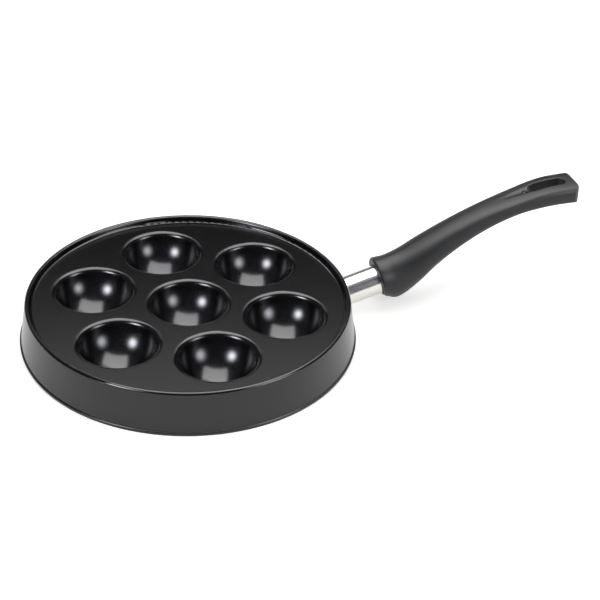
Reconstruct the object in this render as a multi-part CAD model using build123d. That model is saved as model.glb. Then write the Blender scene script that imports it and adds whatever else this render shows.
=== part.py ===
from build123d import *
import math
import os

# Aebleskiver pan with a fixed handle, in millimetres.
# Origin: middle of the foot ring, on the surface that the pan stands on.
# The handle points along +X and rises from the skirt. +Z is up.

# Pan body: one aluminium pressing, its rim folded back on itself
pan_height = 28.8
rim_radius = 105.2
foot_radius = 108.6
sheet = 1.8
plate_drop = 3.8
plate_corner = 1.4
under_corner = 1.2
foot_bead_height = 2.5
foot_bead_proud = 0.8
foot_bead_round = 0.7

# Wells pressed into the plate: one in the middle and a ring around it
ring_well_count = 6
plate_margin = 10.08
well_gap = 7.45
well_edge_round = 3.5
well_lift = 0.3

# Line of the ferrule: it leaves the skirt rising outwards
handle_tilt = 13.8
root_clearance = 0.26
skirt_gap = 0.1

# Ferrule: stainless tube between the skirt and the grip
ferrule_radius = 9.83
ferrule_wall = 0.8
ferrule_show = 25.0
key_width = 3.0
key_length = 5.0

# Threaded boss welded to the skirt inside the ferrule
boss_radius = 5.0
boss_length = 17.0
boss_flange = 2.0
thread_engagement = 9.8
thread_spare = 3.7
ferrule_fit = 0.08

# Handle fixing: machine screw, split washer and plain washer
screw_radius = 2.5
screw_head_radius = 4.75
screw_head_height = 3.7
screw_chamfer = 0.5
recess_width = 1.3
recess_reach = 2.6
recess_depth = 2.0
thread_fit = 0.05
split_washer_radius = 4.6
split_washer_thickness = 1.2
split_washer_slit = 0.8
flat_washer_radius = 5.0
flat_washer_thickness = 1.0
washer_fit = 0.15

# Grip: moulded phenolic
grip_reach = 140.2
grip_rise = 48.95
grip_side_wall = 4.35
grip_belly_wall = 5.25
mouth_offset = 1.6
mouth_bevel = 1.0
socket_depth = 12.0
socket_fit = 0.12
socket_chamfer = 1.0
web_thickness = 8.0
screw_hole_fit = 0.4
counterbore_fit = 0.5
tip_corner_round = 7.4
tip_edge_round = 2.2
tip_margin = 0.2
seat_gap = 0.1

# Hanging slot near the tip, with a scoop that leads the thumb into it
slot_length = 27.0
slot_width = 8.7
slot_tip_wall = 7.5
slot_edge_round = 0.7
scoop_length = 24.0
scoop_depth = 1.6
dimple_radius = 2.0
dimple_depth = 1.0
dimple_setback = 2.6

# Cuts run past the faces that they open
overrun = 5.0

# A rounding takes at most this share of the wall that it rounds
round_limit_share = 0.9

# Grip stations from the mouth of the socket to the tip. Each row gives
# shares of the reach, the rise, the half width and the half depth, then how far each quarter's
# handles reach to the corner: 0.552 makes an ellipse and 0.95 nearly a rounded rectangle.
sections_each = 3
grip_station_shares = (
    (0.000, 0.000, 1.000, 0.870, 0.552),
    (0.061, 0.019, 1.000, 1.009, 0.552),
    (0.147, 0.139, 0.936, 0.890, 0.584),
    (0.247, 0.340, 0.906, 0.693, 0.613),
    (0.376, 0.554, 0.829, 0.562, 0.639),
    (0.519, 0.743, 0.784, 0.457, 0.688),
    (0.677, 0.893, 0.810, 0.376, 0.783),
    (0.849, 0.985, 0.870, 0.418, 0.899),
    (1.000, 0.990, 0.915, 0.440, 0.880),
)


def ring_places(count, radius):
    """Places of the outer wells: the handle lies between two of them."""
    step = 2 * math.pi / count
    angles = [step * (n + 0.5) for n in range(count)]
    return [(radius * math.cos(a), radius * math.sin(a)) for a in angles]


plate_top = pan_height - plate_drop
plate_bottom = plate_top - sheet

# The wells fill the plate: the ring keeps its margin from the rim, and each well its gap
# from its neighbours, in the ring or in the middle, whichever are nearer.
ring_radius = rim_radius - 2 * sheet - plate_margin
neighbour_share = min(1, 2 * math.sin(math.pi / ring_well_count))
edge_ring_radius = (neighbour_share * ring_radius - well_gap) / (neighbour_share + 2)
well_places = [(0, 0)] + ring_places(ring_well_count, ring_radius - edge_ring_radius)
well_depth = plate_top - sheet - well_lift
well_radius = (edge_ring_radius**2 + well_depth**2) / (2 * well_depth) - well_edge_round
well_centre = plate_top - well_depth + well_radius
edge_centre = plate_top - well_edge_round


def skirt_crest():
    """Centre of the crest's rounding, and where the skirt's outside meets it."""
    centre = (rim_radius - sheet, pan_height - sheet)
    across = foot_radius - centre[0]
    down = foot_bead_height - centre[1]
    lean = math.atan2(down, across) + math.acos(sheet / math.hypot(across, down))
    touch = (centre[0] + sheet * math.cos(lean), centre[1] + sheet * math.sin(lean))
    return centre, touch


def skirt_slope():
    """How far the skirt runs outwards for each unit that it rises."""
    touch = skirt_crest()[1]
    return (touch[0] - foot_radius) / (touch[1] - foot_bead_height)


def skirt_outside(height):
    """Radius of the skirt's outer face at a height."""
    return foot_radius + (height - foot_bead_height) * skirt_slope()


def pan_shell():
    """Plate, folded rim, flared skirt and foot bead, turned about the middle."""
    centre, touch = skirt_crest()
    crest = (centre[0], pan_height)
    inner = (centre[0] - sheet, centre[1])
    bead_radius = foot_radius + foot_bead_proud
    wall = sheet * math.hypot(1, skirt_slope())
    foot_inside = foot_radius - wall
    under_rim = skirt_outside(plate_bottom) - wall
    with BuildSketch(Plane.XZ) as section:
        with BuildLine():
            Line((0, plate_bottom), (0, plate_top))
            Line((0, plate_top), (inner[0], plate_top))
            Line((inner[0], plate_top), inner)
            ThreePointArc(inner, crest, touch)
            Line(touch, (foot_radius, foot_bead_height))
            Line((foot_radius, foot_bead_height), (bead_radius, foot_bead_height))
            Line((bead_radius, foot_bead_height), (bead_radius, 0))
            Line((bead_radius, 0), (foot_inside, 0))
            Line((foot_inside, 0), (foot_inside, foot_bead_height))
            Line((foot_inside, foot_bead_height), (under_rim, plate_bottom))
            Line((under_rim, plate_bottom), (0, plate_bottom))
        make_face()
        roundings = (
            (bead_radius, 0, foot_bead_round, foot_bead_proud),
            (bead_radius, foot_bead_height, foot_bead_round, foot_bead_proud),
            (inner[0], plate_top, plate_corner, plate_drop - sheet),
            (under_rim, plate_bottom, under_corner, plate_margin),
        )
        for x, z, radius, room in roundings:
            corner = section.vertices().sort_by_distance((x, z))[0]
            fillet(corner, min(radius, round_limit_share * room))
    return revolve(section.sketch, Axis.Z)


def well():
    """One pressed well with its rounded edge, centred on the Z axis."""
    lean = math.atan2(edge_centre - well_centre, edge_ring_radius)
    middle = (lean - math.pi / 2) / 2
    turn = (math.pi / 2 + lean + math.pi) / 2

    def on_bowl(radius, angle):
        return (radius * math.cos(angle), well_centre + radius * math.sin(angle))

    def on_edge(radius, angle):
        return (
            edge_ring_radius + radius * math.cos(angle),
            edge_centre + radius * math.sin(angle),
        )

    under_radius = well_radius + sheet
    under_edge = well_edge_round - sheet
    with BuildSketch(Plane.XZ) as section:
        with BuildLine():
            ThreePointArc(
                (edge_ring_radius, plate_top),
                on_edge(well_edge_round, turn),
                on_bowl(well_radius, lean),
            )
            ThreePointArc(
                on_bowl(well_radius, lean),
                on_bowl(well_radius, middle),
                (0, well_centre - well_radius),
            )
            Line((0, well_centre - well_radius), (0, well_centre - under_radius))
            ThreePointArc(
                (0, well_centre - under_radius),
                on_bowl(under_radius, middle),
                on_bowl(under_radius, lean),
            )
            ThreePointArc(
                on_bowl(under_radius, lean),
                on_edge(under_edge, turn),
                (edge_ring_radius, plate_bottom),
            )
            Line((edge_ring_radius, plate_bottom), (edge_ring_radius, plate_top))
        make_face()
    return revolve(section.sketch, Axis.Z)


def make_pan_body():
    mouth = Cylinder(
        edge_ring_radius, pan_height, align=(Align.CENTER, Align.CENTER, Align.MIN)
    )
    one_well = well()
    places = [Pos(x, y, 0) for x, y in well_places]
    holed = pan_shell() - [place * mouth for place in places]
    return holed + [place * one_well for place in places]


# The ferrule's lower edge clears the foot bead where it meets the skirt
tilt = math.radians(handle_tilt)
lean = math.atan(skirt_slope())
root_lift = ferrule_radius * math.cos(lean) / math.cos(tilt + lean)
root_height = foot_bead_height + root_clearance + root_lift
root = (skirt_outside(root_height), root_height)


def handle_frame(along):
    """Location on the ferrule's axis, its Z pointing out along the handle."""
    x = root[0] + along * math.cos(tilt)
    z = root[1] + along * math.sin(tilt)
    return Location(Plane((x, 0, z), x_dir=(0, 1, 0), z_dir=(math.cos(tilt), 0, math.sin(tilt))))


def rod(radius, start, length):
    """Round rod along the ferrule's axis."""
    shape = Cylinder(radius, length, align=(Align.CENTER, Align.CENTER, Align.MIN))
    return handle_frame(start) * shape


def skirt_solid(gap):
    """Everything inside the skirt's outer face, with a gap around it."""
    low = skirt_outside(-pan_height) + gap
    high = skirt_outside(2 * pan_height) + gap
    cone = Cone(low, high, 3 * pan_height, align=(Align.CENTER, Align.CENTER, Align.MIN))
    return Pos(0, 0, -pan_height) * cone


root_reach = ferrule_radius + overrun
ferrule_bore = ferrule_radius - ferrule_wall
socket_radius = ferrule_radius + socket_fit
grip_half_width = socket_radius + grip_side_wall
grip_half_depth = socket_radius + grip_belly_wall
counterbore_radius = max(flat_washer_radius, split_washer_radius, screw_head_radius) + counterbore_fit
socket_floor = ferrule_show + socket_depth
ferrule_end = socket_floor - seat_gap
washer_seat = socket_floor + web_thickness
split_seat = washer_seat + flat_washer_thickness
head_seat = split_seat + split_washer_thickness
screw_tip = boss_length - thread_engagement


def key_block(gap):
    """Key at the top of the ferrule's outer end, which stops the grip turning."""
    block = Box(
        key_width + 2 * gap,
        2 * ferrule_wall + socket_fit + overrun,
        key_length + gap + overrun,
        align=(Align.CENTER, Align.MIN, Align.MIN),
    )
    return handle_frame(socket_floor - key_length - gap) * Pos(0, ferrule_bore - ferrule_wall, 0) * block


def make_ferrule():
    tube = rod(ferrule_radius, -root_reach, ferrule_end + root_reach)
    tube -= rod(ferrule_bore, -2 * root_reach, ferrule_end + 3 * root_reach)
    tube -= key_block(socket_fit)
    return tube - skirt_solid(skirt_gap)


def make_handle_boss():
    boss = rod(boss_radius, -root_reach, boss_length + root_reach)
    boss += rod(ferrule_bore - ferrule_fit, -root_reach, boss_flange + root_reach)
    boss -= rod(screw_radius + thread_fit, screw_tip - thread_spare, boss_length)
    return boss - skirt_solid(0)


def make_flat_washer():
    washer = rod(flat_washer_radius, washer_seat, flat_washer_thickness)
    return washer - rod(
        screw_radius + washer_fit, washer_seat - overrun, flat_washer_thickness + 2 * overrun
    )


def make_spring_washer():
    washer = rod(split_washer_radius, split_seat, split_washer_thickness)
    washer -= rod(
        screw_radius + washer_fit, split_seat - overrun, split_washer_thickness + 2 * overrun
    )
    slit = Box(
        split_washer_slit,
        2 * split_washer_radius,
        2 * split_washer_thickness,
        align=(Align.CENTER, Align.MIN, Align.CENTER),
    )
    return washer - handle_frame(split_seat + split_washer_thickness / 2) * slit


def make_handle_screw():
    screw = rod(screw_radius, screw_tip, head_seat - screw_tip)
    tip = screw.faces().sort_by(Axis((0, 0, 0), (math.cos(tilt), 0, math.sin(tilt))))[0]
    screw = chamfer(tip.edges(), screw_chamfer)
    head = rod(screw_head_radius, head_seat, screw_head_height)
    crown = head.faces().sort_by(Axis((0, 0, 0), (math.cos(tilt), 0, math.sin(tilt))))[-1]
    head = fillet(crown.edges(), screw_head_height / 2)
    blade = Box(
        2 * recess_reach,
        recess_width,
        2 * recess_depth,
    )
    cross = blade + Rot(0, 0, 90) * blade
    return screw + head - handle_frame(head_seat + screw_head_height) * cross


def grip_stations():
    """Stations in the plane of the handle: x, z, slope, half width, half depth and fullness."""
    start = handle_frame(ferrule_show)
    mouth = (start * Pos(0, mouth_offset, 0)).position
    places = [(mouth.X, mouth.Z)]
    for along, rise, *_ in grip_station_shares[1:]:
        places.append((start.position.X + along * grip_reach, start.position.Z + rise * grip_rise))
    ends = zip([places[0], *places], [*places[1:], places[-1]])
    slopes = [(after[1] - before[1]) / (after[0] - before[0]) for before, after in ends]
    slopes[0] = math.tan(tilt)
    return [
        (*place, slope, width * grip_half_width, depth * grip_half_depth, fullness)
        for place, slope, (_, _, width, depth, fullness) in zip(places, slopes, grip_station_shares)
    ]


def column_rates(stations):
    """How fast each column changes along x at each station, judged by its neighbours."""
    gaps = [after[0] - before[0] for before, after in zip(stations, stations[1:])]
    rates = [
        [(q - p) / gap for p, q in zip(before, after)]
        for before, after, gap in zip(stations, stations[1:], gaps)
    ]
    inner = [
        [(g2 * r1 + g1 * r2) / (g1 + g2) for r1, r2 in zip(first, second)]
        for g1, g2, first, second in zip(gaps, gaps[1:], rates, rates[1:])
    ]
    first = [1, math.tan(tilt), *rates[0][2:]]
    return [first, *inner, rates[-1]]


def grip_sections():
    """Stations with more between them, on smooth curves, so that the swell follows them closely."""
    stations = grip_stations()
    rates = column_rates(stations)
    sections = []
    for a, b, rate_a, rate_b in zip(stations, stations[1:], rates, rates[1:]):
        gap = b[0] - a[0]
        for step in range(sections_each):
            t = step / sections_each
            row = []
            for p, q, u, v in zip(a, b, rate_a, rate_b):
                bend = (1 - t) * (u * gap - q + p) - t * (v * gap - q + p)
                row.append(p + t * (q - p) + t * (1 - t) * bend)
            sections.append(row)
    return [*sections, stations[-1]]


def across(row):
    """Plane across the grip at a section."""
    x, z, slope = row[:3]
    return Plane((x, 0, z), x_dir=(0, 1, 0), z_dir=(1, 0, slope))


def rounded_section(row):
    """Closed face across the grip: four curves, one for each quarter."""
    half_width, half_depth, fullness = row[3:]
    with BuildSketch(across(row)) as section:
        with BuildLine():
            for x, y in ((1, 1), (-1, 1), (-1, -1), (1, -1)):
                side = (x * half_width, 0)
                top = (0, y * half_depth)
                Bezier(side, (side[0], fullness * top[1]), (fullness * side[0], top[1]), top)
        make_face()
    return section.sketch


def mouth_ring(row):
    """Ring that comes off the mouth to bevel its outer edge."""
    half_width, half_depth = row[3:5]
    ovals = []
    for shift in (-mouth_bevel, 2 * mouth_bevel):
        grown = shift - mouth_bevel
        ovals.append(Pos(0, 0, shift) * Ellipse(half_width + grown, half_depth + grown))
    block = Box(
        4 * half_width, 4 * half_depth, 3 * mouth_bevel, align=(Align.CENTER, Align.CENTER, Align.MIN)
    )
    ring = Pos(0, 0, -mouth_bevel) * block - loft(ovals, ruled=True)
    return handle_frame(ferrule_show) * Pos(0, mouth_offset, 0) * ring


def tip_cap(row):
    """Cap that comes off the end of the swell to round the tip's corners and edges."""
    width = 2 * (row[3] + tip_margin)
    depth = 2 * (row[4] + tip_margin)
    length = tip_corner_round + tip_edge_round
    core = Box(width, depth, 2 * length, align=(Align.CENTER, Align.CENTER, Align.MAX))
    core = fillet(core.edges().filter_by(Axis.Y).sort_by(Axis.Z)[-2:], tip_corner_round)
    flats = core.faces().sort_by(Axis.Y)
    rims = [e for flat in (flats[0], flats[-1]) for e in flat.edges().sort_by(Axis.Z)[1:]]
    core = fillet(rims, tip_edge_round)
    block = Box(2 * width, 4 * depth, length, align=(Align.CENTER, Align.CENTER, Align.MAX))
    cap = Pos(0, 0, tip_edge_round) * block - core
    return Location(across(row)) * cap


def top_point(solid, x):
    """Highest point of a solid over a place on the middle line."""
    inside = solid & Line((x, 0, 0), (x, 0, 2 * (grip_rise + pan_height)))
    return Vector(*inside.vertices().sort_by(Axis.Z)[-1])


def cut_slot(solid, inner, outer):
    """Cut the hanging slot square to the top face, and round both its rims."""
    ends = [top_point(solid, x) for x in (inner, outer)]
    along = (ends[1] - ends[0]).normalized()
    plane = Plane((ends[0] + ends[1]) / 2, x_dir=along, z_dir=along.cross(Vector(0, 1, 0)))
    outline = Location(plane) * SlotOverall(slot_length, slot_width)
    prism = extrude(outline, 2 * grip_half_depth, both=True)
    holed = solid - prism
    rims = [e for e in new_edges(solid, prism, combined=holed) if e.geom_type != GeomType.LINE]
    return fillet(rims, slot_edge_round)


def thumb_scoop(solid, inner):
    """Tilted round bar that sinks into the top face as it nears the slot."""
    deep_end = top_point(solid, inner + slot_width / 2) - Vector(0, 0, scoop_depth)
    start = top_point(solid, inner + slot_width / 2 - scoop_length)
    along = (deep_end - start).normalized()
    up = along.cross(Vector(0, 1, 0))
    radius = (slot_width**2 / 4 + scoop_depth**2) / (2 * scoop_depth)
    plane = Plane(start + up * radius - along * overrun, x_dir=(0, 1, 0), z_dir=along)
    length = (deep_end - start).length + overrun
    bar = Cylinder(radius, length, align=(Align.CENTER, Align.CENTER, Align.MIN))
    return Location(plane) * bar


def dimple(solid, inner):
    """Small round hollow on the scoop's floor, beside the slot."""
    floor = top_point(solid, inner - dimple_setback)
    return Pos(floor.X, 0, floor.Z + dimple_radius - dimple_depth) * Sphere(dimple_radius)


def make_grip():
    sections = grip_sections()
    swell = loft([rounded_section(row) for row in sections])
    outer = sections[-1][0] - slot_tip_wall
    inner = outer - slot_length
    grip = cut_slot(swell, inner, outer) - thumb_scoop(swell, inner)
    grip -= dimple(grip, inner)
    grip -= mouth_ring(sections[0])
    grip -= tip_cap(sections[-1])
    grip -= rod(socket_radius, ferrule_show - overrun, socket_depth + overrun) - key_block(0)
    flare = Cone(
        socket_radius + 2 * socket_chamfer,
        socket_radius,
        2 * socket_chamfer,
        align=(Align.CENTER, Align.CENTER, Align.MIN),
    )
    grip -= handle_frame(ferrule_show - socket_chamfer) * flare
    grip -= rod(screw_radius + screw_hole_fit, socket_floor - overrun, web_thickness + 2 * overrun)
    return grip - rod(counterbore_radius, washer_seat, grip_reach / 2)


def main():
    os.makedirs("parts", exist_ok=True)
    makers = {
        "pan_body": make_pan_body,
        "handle_boss": make_handle_boss,
        "ferrule": make_ferrule,
        "grip": make_grip,
        "handle_screw": make_handle_screw,
        "spring_washer": make_spring_washer,
        "flat_washer": make_flat_washer,
    }
    for name, maker in makers.items():
        export_step(maker(), f"parts/{name}.step")


main()
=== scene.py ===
"""Finishes, studio and camera for an aebleskiver pan with a fixed handle."""

import math

import bmesh
import bpy
from mathutils import Matrix, Vector

bl_info = {
    "name": "Aebleskiver pan",
    "version": (1, 0, 0),
    "blender": (4, 5, 0),
    "location": "View3D > Sidebar > Pan",
    "description": "Finishes the pan's pieces and sets up its studio",
    "category": "Object",
}

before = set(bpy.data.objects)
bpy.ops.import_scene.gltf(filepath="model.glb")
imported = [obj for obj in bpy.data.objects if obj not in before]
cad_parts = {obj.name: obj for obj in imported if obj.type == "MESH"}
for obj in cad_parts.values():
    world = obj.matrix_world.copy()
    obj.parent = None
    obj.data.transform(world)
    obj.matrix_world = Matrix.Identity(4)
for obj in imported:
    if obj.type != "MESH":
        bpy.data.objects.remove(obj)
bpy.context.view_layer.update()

MM = 0.001

PHOTO_WIDTH = 600
SENSOR_WIDTH = 36.0
CLIP_START = 0.01
CLIP_END = 50.0

# A Mix node's sockets for its two colours and the mixed one, whose names others of it share.
FIRST, SECOND, MIXED = 6, 7, 2

UP = Vector((0, 0, 1))
FLOOR_RADIUS = 6.0
WALL_RADIUS = 5.0
WALL_FOOT = 0.02
LAMP_DISTANCE = 1.5
TOP_LAMP_SPOT = Vector((0.36, 0.36, 1.5))
TOP_LAMP_SIZE = (1.75, 1.55)


def linear(hex_colour):
    """Linear RGBA of an sRGB hex colour."""
    channels = [int(hex_colour[n : n + 2], 16) / 255 for n in (1, 3, 5)]
    bright = [c / 12.92 if c <= 0.04045 else ((c + 0.055) / 1.055) ** 2.4 for c in channels]
    return (*bright, 1.0)


def per_mm(size):
    """Texture scale at which one cell of a pattern measures this many millimetres."""
    return 1 / (size * MM)


def add_node(tree, kind, inputs=None, **settings):
    """Add a shader node. Each of its inputs takes a link or a value, each setting a value."""
    node = tree.nodes.new(kind)
    for name, value in settings.items():
        setattr(node, name, value)
    for name, source in (inputs or {}).items():
        if isinstance(source, bpy.types.NodeSocket):
            tree.links.new(source, node.inputs[name])
        else:
            node.inputs[name].default_value = source
    return node


def new_material(name):
    """Empty node material, its tree and its Object coordinates."""
    material = bpy.data.materials.new(name)
    material.use_nodes = True
    tree = material.node_tree
    tree.nodes.clear()
    place = add_node(tree, "ShaderNodeTexCoord").outputs["Object"]
    return material, tree, place


def dress(node_names, material):
    """Put a material in the slots of CAD nodes."""
    for name in node_names:
        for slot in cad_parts[name].material_slots:
            slot.material = material


class PanFinishSettings(bpy.types.PropertyGroup):
    coating_dark: bpy.props.FloatVectorProperty(
        name="Coating, dark",
        description="Darker tone of the non-stick coating",
        subtype="COLOR",
        size=4,
        default=linear("#040405"),
    )
    coating_light: bpy.props.FloatVectorProperty(
        name="Coating, light",
        description="Lighter tone of the non-stick coating's mottling",
        subtype="COLOR",
        size=4,
        default=linear("#08080a"),
    )
    coating_fleck: bpy.props.FloatVectorProperty(
        name="Coating flecks",
        description="Colour of the fine mica flecks in the coating",
        subtype="COLOR",
        size=4,
        default=linear("#151518"),
    )
    phenolic_dark: bpy.props.FloatVectorProperty(
        name="Phenolic, dark",
        description="Darker tone of the moulded grip",
        subtype="COLOR",
        size=4,
        default=linear("#161617"),
    )
    phenolic_light: bpy.props.FloatVectorProperty(
        name="Phenolic, light",
        description="Lighter tone of the moulded grip",
        subtype="COLOR",
        size=4,
        default=linear("#1d1d1e"),
    )
    stainless: bpy.props.FloatVectorProperty(
        name="Stainless steel",
        description="Colour of the polished ferrule",
        subtype="COLOR",
        size=4,
        default=linear("#d9d7d2"),
    )
    zinc_dark: bpy.props.FloatVectorProperty(
        name="Zinc plate, dark",
        description="Darker tone of the screw and its washers",
        subtype="COLOR",
        size=4,
        default=linear("#b4b8bd"),
    )
    zinc_light: bpy.props.FloatVectorProperty(
        name="Zinc plate, light",
        description="Lighter tone of the screw and its washers",
        subtype="COLOR",
        size=4,
        default=linear("#cdd1d6"),
    )
    aluminium: bpy.props.FloatVectorProperty(
        name="Aluminium",
        description="Colour of the turned boss",
        subtype="COLOR",
        size=4,
        default=linear("#d3d4d6"),
    )


class PanStudioSettings(bpy.types.PropertyGroup):
    floor_colour: bpy.props.FloatVectorProperty(
        name="Floor",
        description="Colour of the floor",
        subtype="COLOR",
        size=4,
        default=linear("#f4f3f1"),
    )
    wall_colour: bpy.props.FloatVectorProperty(
        name="Studio walls",
        description="Tone of the dim room that the glossy surfaces reflect",
        subtype="COLOR",
        size=4,
        default=linear("#e6e8ff"),
    )
    fill_colour: bpy.props.FloatVectorProperty(
        name="Fill light",
        description="Tone of the soft light that comes from all sides",
        subtype="COLOR",
        size=4,
        default=linear("#f2f5fa"),
    )
    fill_level: bpy.props.FloatProperty(
        name="Fill level",
        description="Strength of the soft light that comes from all sides",
        default=0.15,
        min=0.0,
    )
    left_power: bpy.props.FloatProperty(
        name="Left softbox",
        description="Power of the softbox at the front left",
        default=9.6,
        unit="POWER",
    )
    right_power: bpy.props.FloatProperty(
        name="Right softbox",
        description="Power of the softbox at the front right",
        default=8.4,
        unit="POWER",
    )
    top_power: bpy.props.FloatProperty(
        name="Overhead softbox",
        description="Power of the softbox over the back of the pan",
        default=13.5,
        unit="POWER",
    )
    top_turn: bpy.props.FloatProperty(
        name="Overhead softbox turn",
        description="Turn of the overhead softbox about the vertical",
        subtype="ANGLE",
        default=math.radians(-20.537),
    )


class PanCameraSettings(bpy.types.PropertyGroup):
    azimuth: bpy.props.FloatProperty(
        name="Azimuth",
        description="Turn of the camera about the pan, from the front towards the handle",
        subtype="ANGLE",
        default=math.radians(-20.537),
    )
    elevation: bpy.props.FloatProperty(
        name="Elevation",
        description="Height of the camera over the floor, as an angle",
        subtype="ANGLE",
        default=math.radians(33.367),
    )
    roll: bpy.props.FloatProperty(
        name="Roll",
        description="Tilt of the camera about its line of sight",
        subtype="ANGLE",
        default=math.radians(2.091),
    )
    distance: bpy.props.FloatProperty(
        name="Distance",
        description="From the camera to the pan's middle, along its line of sight",
        unit="LENGTH",
        default=1.154239,
    )
    right_offset: bpy.props.FloatProperty(
        name="Offset to the right",
        description="How far the camera stands to the right of the pan's middle",
        unit="LENGTH",
        default=0.072248,
    )
    up_offset: bpy.props.FloatProperty(
        name="Offset up",
        description="How far the camera stands over the pan's middle",
        unit="LENGTH",
        default=0.024581,
    )
    focal_pixels: bpy.props.FloatProperty(
        name="Focal length in pixels",
        description="Focal length measured in pixels of the photograph",
        default=1763.3,
    )


def nonstick_coating(finish):
    """PTFE non-stick coating, sprayed on aluminium and baked: satin black with fine flecks."""
    material, tree, place = new_material("nonstick_coating_on_aluminium")
    # Slow change of tone from the spray gun, 14 mm across, seen as a faint mottling.
    mottle = add_node(
        tree,
        "ShaderNodeTexNoise",
        {"Vector": place, "Scale": per_mm(14), "Detail": 3.0, "Roughness": 0.6},
    ).outputs["Fac"]
    tone = add_node(
        tree,
        "ShaderNodeMix",
        {"Factor": mottle, FIRST: finish.coating_dark, SECOND: finish.coating_light},
        data_type="RGBA",
    )
    # Mica flecks, real ones about 0.3 mm: drawn at 0.8 mm so that the render shows them.
    cells = add_node(
        tree, "ShaderNodeTexVoronoi", {"Vector": place, "Scale": per_mm(0.8)}, feature="F1"
    )
    chance = add_node(
        tree, "ShaderNodeSeparateColor", {"Color": cells.outputs["Color"]}, mode="RGB"
    )
    few = add_node(
        tree,
        "ShaderNodeMapRange",
        {"Value": chance.outputs["Red"], "From Min": 0.90, "From Max": 0.98},
    )
    middle = add_node(
        tree,
        "ShaderNodeMapRange",
        {"Value": cells.outputs["Distance"], "From Min": 0.42, "From Max": 0.2},
    )
    fleck = add_node(
        tree, "ShaderNodeMath", {0: few.outputs[0], 1: middle.outputs[0]}, operation="MULTIPLY"
    )
    colour = add_node(
        tree,
        "ShaderNodeMix",
        {"Factor": fleck.outputs[0], FIRST: tone.outputs[MIXED], SECOND: finish.coating_fleck},
        data_type="RGBA",
    )
    # Orange peel of the sprayed film, 1.6 mm across, which softens the edges of reflections.
    peel = add_node(
        tree, "ShaderNodeTexNoise", {"Vector": place, "Scale": per_mm(1.6), "Detail": 2.0}
    )
    relief = add_node(
        tree,
        "ShaderNodeBump",
        {"Height": peel.outputs["Fac"], "Strength": 0.25, "Distance": 0.02 * MM},
    )
    sheen = add_node(tree, "ShaderNodeMapRange", {"Value": mottle, "To Min": 0.18, "To Max": 0.22})
    shader = add_node(
        tree,
        "ShaderNodeBsdfPrincipled",
        {
            "Base Color": colour.outputs[MIXED],
            "Roughness": sheen.outputs[0],
            "Normal": relief.outputs[0],
            "IOR": 1.5,
        },
    )
    add_node(tree, "ShaderNodeOutputMaterial", {"Surface": shader.outputs[0]})
    return material


def moulded_phenolic(finish):
    """Phenolic resin, compression moulded: charcoal black with a soft satin skin."""
    material, tree, place = new_material("moulded_phenolic_satin")
    # Flow of the filled resin in the mould, 22 mm across: a slow drift of tone along the grip.
    flow = add_node(
        tree, "ShaderNodeTexNoise", {"Vector": place, "Scale": per_mm(22), "Detail": 2.0}
    ).outputs["Fac"]
    tone = add_node(
        tree,
        "ShaderNodeMix",
        {"Factor": flow, FIRST: finish.phenolic_dark, SECOND: finish.phenolic_light},
        data_type="RGBA",
    )
    # Grain of the mould's blasted surface, about 0.5 mm, drawn at 0.9 mm so that it shows.
    grain = add_node(
        tree, "ShaderNodeTexNoise", {"Vector": place, "Scale": per_mm(0.9), "Detail": 2.0}
    )
    relief = add_node(
        tree,
        "ShaderNodeBump",
        {"Height": grain.outputs["Fac"], "Strength": 0.3, "Distance": 0.02 * MM},
    )
    sheen = add_node(tree, "ShaderNodeMapRange", {"Value": flow, "To Min": 0.4, "To Max": 0.48})
    shader = add_node(
        tree,
        "ShaderNodeBsdfPrincipled",
        {
            "Base Color": tone.outputs[MIXED],
            "Roughness": sheen.outputs[0],
            "Normal": relief.outputs[0],
            "IOR": 1.42,
        },
    )
    add_node(tree, "ShaderNodeOutputMaterial", {"Surface": shader.outputs[0]})
    return material


def polished_stainless(finish):
    """Stainless steel tube, polished after drawing: bright, with slightly blurred reflections."""
    material, tree, place = new_material("polished_stainless_tube")
    # Polishing marks, drawn at 0.7 mm, which show only in the gloss.
    marks = add_node(
        tree, "ShaderNodeTexNoise", {"Vector": place, "Scale": per_mm(0.7), "Detail": 3.0}
    )
    sheen = add_node(
        tree,
        "ShaderNodeMapRange",
        {"Value": marks.outputs["Fac"], "To Min": 0.18, "To Max": 0.28},
    )
    shader = add_node(
        tree,
        "ShaderNodeBsdfPrincipled",
        {"Base Color": finish.stainless, "Metallic": 1.0, "Roughness": sheen.outputs[0]},
    )
    add_node(tree, "ShaderNodeOutputMaterial", {"Surface": shader.outputs[0]})
    return material


def zinc_plated_steel(finish):
    """Steel screw and washers, zinc plated: cool grey with a slight mottle."""
    material, tree, place = new_material("zinc_plated_steel")
    # Mottle of the plating bath, drawn at 1.2 mm.
    mottle = add_node(
        tree, "ShaderNodeTexNoise", {"Vector": place, "Scale": per_mm(1.2), "Detail": 2.0}
    ).outputs["Fac"]
    tone = add_node(
        tree,
        "ShaderNodeMix",
        {"Factor": mottle, FIRST: finish.zinc_dark, SECOND: finish.zinc_light},
        data_type="RGBA",
    )
    sheen = add_node(tree, "ShaderNodeMapRange", {"Value": mottle, "To Min": 0.25, "To Max": 0.4})
    shader = add_node(
        tree,
        "ShaderNodeBsdfPrincipled",
        {"Base Color": tone.outputs[MIXED], "Metallic": 1.0, "Roughness": sheen.outputs[0]},
    )
    add_node(tree, "ShaderNodeOutputMaterial", {"Surface": shader.outputs[0]})
    return material


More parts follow.
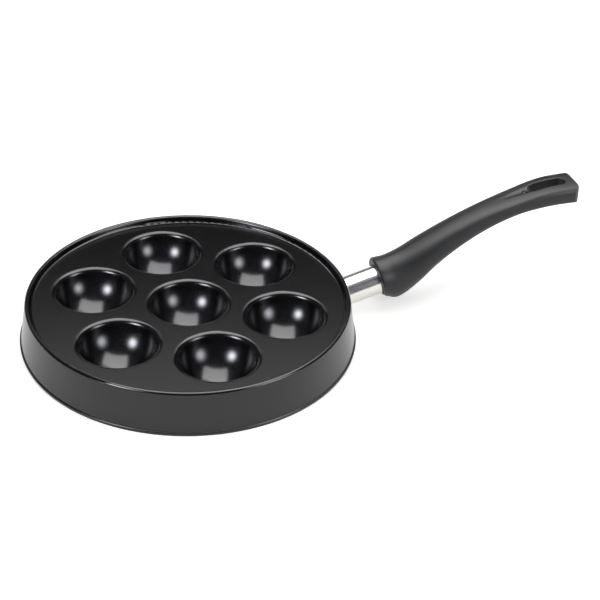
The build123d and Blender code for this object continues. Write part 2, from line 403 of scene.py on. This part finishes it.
def turned_aluminium(finish):
    """Aluminium stud, turned on a lathe: pale grey, dulled by fine tool marks."""
    material, tree, place = new_material("turned_aluminium")
    # Tool marks, drawn at 0.6 mm, which show only in the gloss.
    marks = add_node(
        tree, "ShaderNodeTexNoise", {"Vector": place, "Scale": per_mm(0.6), "Detail": 2.0}
    )
    sheen = add_node(
        tree,
        "ShaderNodeMapRange",
        {"Value": marks.outputs["Fac"], "To Min": 0.3, "To Max": 0.45},
    )
    shader = add_node(
        tree,
        "ShaderNodeBsdfPrincipled",
        {"Base Color": finish.aluminium, "Metallic": 1.0, "Roughness": sheen.outputs[0]},
    )
    add_node(tree, "ShaderNodeOutputMaterial", {"Surface": shader.outputs[0]})
    return material


class PAN_OT_finish_body(bpy.types.Operator):
    """Coat the pressed pan body"""

    bl_idname = "pan.finish_body"
    bl_label = "Finish the pan body"

    def execute(self, context):
        dress(["pan_body"], nonstick_coating(context.scene.pan_finish))
        return {"FINISHED"}


class PAN_OT_finish_ferrule(bpy.types.Operator):
    """Polish the ferrule"""

    bl_idname = "pan.finish_ferrule"
    bl_label = "Finish the ferrule"

    def execute(self, context):
        dress(["ferrule"], polished_stainless(context.scene.pan_finish))
        return {"FINISHED"}


class PAN_OT_finish_grip(bpy.types.Operator):
    """Give the grip its moulded skin"""

    bl_idname = "pan.finish_grip"
    bl_label = "Finish the grip"

    def execute(self, context):
        dress(["grip"], moulded_phenolic(context.scene.pan_finish))
        return {"FINISHED"}


class PAN_OT_finish_fixings(bpy.types.Operator):
    """Plate the screw and its washers, and turn the boss"""

    bl_idname = "pan.finish_fixings"
    bl_label = "Finish the fixings"

    def execute(self, context):
        finish = context.scene.pan_finish
        dress(["handle_screw", "spring_washer", "flat_washer"], zinc_plated_steel(finish))
        dress(["handle_boss"], turned_aluminium(finish))
        return {"FINISHED"}


def seen_rays(tree):
    """Socket that is 1 for rays that show the background: camera, glossy and transmission."""
    path = add_node(tree, "ShaderNodeLightPath")
    seen = path.outputs["Is Camera Ray"]
    for kind in ("Is Glossy Ray", "Is Transmission Ray"):
        seen = add_node(
            tree, "ShaderNodeMath", {0: seen, 1: path.outputs[kind]}, operation="MAXIMUM"
        ).outputs[0]
    return seen


def white_table_top(studio):
    """Matt white top, lifted to white where it is seen, with the pan's shadow kept."""
    material, tree, place = new_material("white_table_top")
    base = add_node(tree, "ShaderNodeBsdfDiffuse", {"Color": studio.floor_colour})
    # The lift grows away from the lamps, so that the far floor is as white as the near one.
    radius = add_node(tree, "ShaderNodeVectorMath", {"Vector": place}, operation="LENGTH")
    level = add_node(
        tree,
        "ShaderNodeMapRange",
        {
            "Value": radius.outputs["Value"],
            "From Min": 0.7,
            "From Max": 2.2,
            "To Min": 0.5,
            "To Max": 0.88,
        },
    )
    lift = add_node(
        tree, "ShaderNodeEmission", {"Color": linear("#ffffff"), "Strength": level.outputs[0]}
    )
    lifted = add_node(tree, "ShaderNodeAddShader", {0: base.outputs[0], 1: lift.outputs[0]})
    top = add_node(
        tree,
        "ShaderNodeMixShader",
        {0: seen_rays(tree), 1: base.outputs[0], 2: lifted.outputs[0]},
    )
    # From below the floor is clear, so that the pan's underside can be looked at.
    below = add_node(tree, "ShaderNodeNewGeometry").outputs["Backfacing"]
    clear = add_node(tree, "ShaderNodeBsdfTransparent")
    shader = add_node(
        tree, "ShaderNodeMixShader", {0: below, 1: top.outputs[0], 2: clear.outputs[0]}
    )
    add_node(tree, "ShaderNodeOutputMaterial", {"Surface": shader.outputs[0]})
    return material


def dim_studio_wall(studio):
    """Dim walls that only reflections see, brighter towards the ceiling."""
    material, tree, place = new_material("dim_studio_wall")
    height = add_node(tree, "ShaderNodeSeparateXYZ", {"Vector": place})
    rise = add_node(
        tree,
        "ShaderNodeMapRange",
        {
            "Value": height.outputs["Z"],
            "From Max": 0.82 * WALL_RADIUS,
            "To Min": 0.03,
            "To Max": 0.2,
        },
    )
    shader = add_node(
        tree, "ShaderNodeEmission", {"Color": studio.wall_colour, "Strength": rise.outputs[0]}
    )
    add_node(tree, "ShaderNodeOutputMaterial", {"Surface": shader.outputs[0]})
    return material


def flat_glow(name, level):
    """Evenly bright surface, which is nearly black at a low level."""
    material, tree, _ = new_material(name)
    shader = add_node(
        tree, "ShaderNodeEmission", {"Color": linear("#ffffff"), "Strength": level}
    )
    add_node(tree, "ShaderNodeOutputMaterial", {"Surface": shader.outputs[0]})
    return material


def round_glow(name, core, core_share, halo):
    """Surface that is brightest in its middle: a lamp behind cloth, with its dim halo."""
    material, tree, place = new_material(name)
    radius = add_node(tree, "ShaderNodeVectorMath", {"Vector": place}, operation="LENGTH")
    lamp, cloth = (
        add_node(
            tree,
            "ShaderNodeMapRange",
            {
                "Value": radius.outputs["Value"],
                "From Max": 0.5 * share,
                "To Min": level,
                "To Max": 0.0,
            },
            interpolation_type="SMOOTHSTEP",
        )
        for share, level in ((core_share, core), (1.0, halo))
    )
    total = add_node(
        tree, "ShaderNodeMath", {0: lamp.outputs[0], 1: cloth.outputs[0]}, operation="ADD"
    )
    shader = add_node(
        tree, "ShaderNodeEmission", {"Color": linear("#f6f8ff"), "Strength": total.outputs[0]}
    )
    add_node(tree, "ShaderNodeOutputMaterial", {"Surface": shader.outputs[0]})
    return material


def build_world(studio):
    """White for the camera and for reflections, and a soft fill on the object."""
    world = bpy.data.worlds.new("studio")
    bpy.context.scene.world = world
    world.use_nodes = True
    tree = world.node_tree
    tree.nodes.clear()
    backdrop = add_node(
        tree, "ShaderNodeBackground", {"Color": linear("#ffffff"), "Strength": 1.0}
    )
    fill = add_node(
        tree,
        "ShaderNodeBackground",
        {"Color": studio.fill_colour, "Strength": studio.fill_level},
    )
    mixed = add_node(
        tree,
        "ShaderNodeMixShader",
        {0: seen_rays(tree), 1: fill.outputs[0], 2: backdrop.outputs[0]},
    )
    add_node(tree, "ShaderNodeOutputWorld", {"Surface": mixed.outputs[0]})


def towards(azimuth, elevation):
    """Unit vector. Azimuth runs from behind the pan towards the handle, both in degrees."""
    turn = math.radians(azimuth)
    rise = math.radians(elevation)
    return Vector(
        (math.sin(turn) * math.cos(rise), math.cos(turn) * math.cos(rise), math.sin(rise))
    )


def pose(spot, away, turn=0.0):
    """Place of a flat thing with its back along away, which may be turned about that line."""
    tilt = away.to_track_quat("Z", "Y").to_matrix().to_4x4()
    return Matrix.Translation(spot) @ tilt @ Matrix.Rotation(turn, 4, "Z")


def facing_pan(azimuth, elevation, distance, lift=0.0):
    """Place of a flat thing that faces the pan from this side, and may be lifted after that."""
    away = towards(azimuth, elevation)
    return pose(away * distance + UP * lift, away)


def softbox(name, place, size, power):
    """Rectangular lamp that reflections don't show: a panel in its place does that."""
    lamp = bpy.data.lights.new(name, "AREA")
    lamp.shape = "RECTANGLE"
    lamp.size, lamp.size_y = size
    lamp.energy = power
    box = bpy.data.objects.new(name, lamp)
    box.matrix_world = place
    box.visible_camera = False
    box.visible_glossy = False
    bpy.context.scene.collection.objects.link(box)


def stage_piece(name, form, material):
    """Object of the stage, made from a bmesh, which is freed."""
    mesh = bpy.data.meshes.new(name)
    form.to_mesh(mesh)
    form.free()
    mesh.materials.append(material)
    piece = bpy.data.objects.new(name, mesh)
    bpy.context.scene.collection.objects.link(piece)
    return piece


def panel(name, place, size, material):
    """Flat panel of the stage, a unit square that is scaled to its size."""
    form = bmesh.new()
    bmesh.ops.create_grid(form, x_segments=1, y_segments=1, size=0.5)
    board = stage_piece(name, form, material)
    board.matrix_world = place @ Matrix.Diagonal((*size, 1, 1))
    return board


def reflect_only(thing):
    """Hide a thing of the stage from all rays but glossy ones."""
    thing.visible_camera = False
    thing.visible_diffuse = False
    thing.visible_shadow = False
    thing.visible_transmission = False


def lay_floor(studio):
    form = bmesh.new()
    bmesh.ops.create_circle(form, cap_ends=True, segments=96, radius=FLOOR_RADIUS)
    return stage_piece("floor", form, white_table_top(studio))


def raise_walls(studio):
    """Dome round the stage, cut off just over the floor."""
    form = bmesh.new()
    bmesh.ops.create_uvsphere(form, u_segments=48, v_segments=24, radius=WALL_RADIUS)
    bmesh.ops.bisect_plane(
        form,
        geom=form.verts[:] + form.edges[:] + form.faces[:],
        plane_co=UP * WALL_FOOT,
        plane_no=UP,
        clear_inner=True,
    )
    return stage_piece("studio_walls", form, dim_studio_wall(studio))


class PAN_OT_build_stage(bpy.types.Operator):
    """Set out the floor, the studio walls, the softboxes and the panels"""

    bl_idname = "pan.build_stage"
    bl_label = "Build the stage"

    def execute(self, context):
        studio = context.scene.pan_studio
        build_world(studio)
        floor = lay_floor(studio)
        walls = raise_walls(studio)

        at_left = facing_pan(azimuth=-114, elevation=32, distance=LAMP_DISTANCE)
        at_right = facing_pan(azimuth=140, elevation=25, distance=LAMP_DISTANCE)
        at_top = pose(TOP_LAMP_SPOT, UP, studio.top_turn)
        softbox("softbox_left", at_left, (0.6, 0.6), studio.left_power)
        softbox("softbox_right", at_right, (0.7, 0.7), studio.right_power)
        softbox("softbox_top", at_top, TOP_LAMP_SIZE, studio.top_power)

        # What the coating reflects: the three lamps, three dimmer cards behind the pan, and a
        # black card that keeps the middle of the plate dark.
        glow_left = round_glow("glow_left", core=32.0, core_share=0.58, halo=1.0)
        glow_right = round_glow("glow_right", core=12.5, core_share=0.64, halo=0.9)
        at_back = facing_pan(azimuth=15, elevation=41, distance=1.3)
        at_side = facing_pan(azimuth=50, elevation=43, distance=1.4)
        at_low = facing_pan(azimuth=5, elevation=6, distance=1.2)
        at_behind = facing_pan(azimuth=17, elevation=0, distance=0.8, lift=0.375)
        boards = (
            panel("panel_left", at_left, (1.6, 1.6), glow_left),
            panel("panel_right", at_right, (1.7, 1.7), glow_right),
            panel("panel_top", at_top, TOP_LAMP_SIZE, flat_glow("glow_top", level=6.2)),
            panel("panel_back", at_back, (1.8, 0.16), flat_glow("glow_back", level=1.2)),
            panel("panel_side", at_side, (0.34, 0.42), flat_glow("glow_side", level=2.5)),
            panel("panel_low", at_low, (1.0, 0.2), flat_glow("glow_low", level=1.1)),
            panel("black_card", at_behind, (1.3, 0.43), flat_glow("black", level=0.02)),
        )
        for thing in (walls, *boards):
            reflect_only(thing)
        context.scene.view_settings.view_transform = "Standard"
        return {"FINISHED"}


class PAN_OT_place_camera(bpy.types.Operator):
    """Stand the camera where the photograph was taken"""

    bl_idname = "pan.place_camera"
    bl_label = "Place the camera"

    def execute(self, context):
        view = context.scene.pan_camera
        sight = Vector(
            (
                math.sin(view.azimuth) * math.cos(view.elevation),
                -math.cos(view.azimuth) * math.cos(view.elevation),
                math.sin(view.elevation),
            )
        )
        level = Vector((math.cos(view.azimuth), math.sin(view.azimuth), 0))
        above = sight.cross(level)
        right = level * math.cos(view.roll) + above * math.sin(view.roll)
        up = above * math.cos(view.roll) - level * math.sin(view.roll)
        spot = level * view.right_offset + above * view.up_offset + sight * view.distance
        lens = bpy.data.cameras.new("camera")
        lens.sensor_width = SENSOR_WIDTH
        lens.lens = view.focal_pixels * SENSOR_WIDTH / PHOTO_WIDTH
        # The measured pixels are counted from 0 at their middles: half a pixel off the frame's.
        lens.shift_x = -0.5 / PHOTO_WIDTH
        lens.shift_y = 0.5 / PHOTO_WIDTH
        lens.clip_start = CLIP_START
        lens.clip_end = CLIP_END
        camera = bpy.data.objects.new("camera", lens)
        stand = Matrix((right, up, sight)).transposed().to_4x4()
        stand.translation = spot
        camera.matrix_world = stand
        context.scene.collection.objects.link(camera)
        context.scene.camera = camera
        return {"FINISHED"}


class PAN_PT_pieces(bpy.types.Panel):
    """Lists the pan's pieces, its stage and its camera"""

    bl_idname = "PAN_PT_pieces"
    bl_label = "Aebleskiver pan"
    bl_space_type = "VIEW_3D"
    bl_region_type = "UI"
    bl_category = "Pan"

    def draw(self, context):
        for step in STEPS:
            self.layout.operator(step.bl_idname)
        scene = context.scene
        for group in (scene.pan_finish, scene.pan_studio, scene.pan_camera):
            box = self.layout.box()
            for name in group.bl_rna.properties.keys():
                if name not in ("rna_type", "name"):
                    box.prop(group, name)


STEPS = (
    PAN_OT_finish_body,
    PAN_OT_finish_ferrule,
    PAN_OT_finish_grip,
    PAN_OT_finish_fixings,
    PAN_OT_build_stage,
    PAN_OT_place_camera,
)
CLASSES = (PanFinishSettings, PanStudioSettings, PanCameraSettings, *STEPS, PAN_PT_pieces)


def register():
    for cls in CLASSES:
        bpy.utils.register_class(cls)
    bpy.types.Scene.pan_finish = bpy.props.PointerProperty(type=PanFinishSettings)
    bpy.types.Scene.pan_studio = bpy.props.PointerProperty(type=PanStudioSettings)
    bpy.types.Scene.pan_camera = bpy.props.PointerProperty(type=PanCameraSettings)


def unregister():
    del bpy.types.Scene.pan_finish
    del bpy.types.Scene.pan_studio
    del bpy.types.Scene.pan_camera
    for cls in reversed(CLASSES):
        bpy.utils.unregister_class(cls)


def main():
    register()
    bpy.ops.pan.finish_body()
    bpy.ops.pan.finish_ferrule()
    bpy.ops.pan.finish_grip()
    bpy.ops.pan.finish_fixings()
    bpy.ops.pan.build_stage()
    bpy.ops.pan.place_camera()


if __name__ == "__main__":
    main()
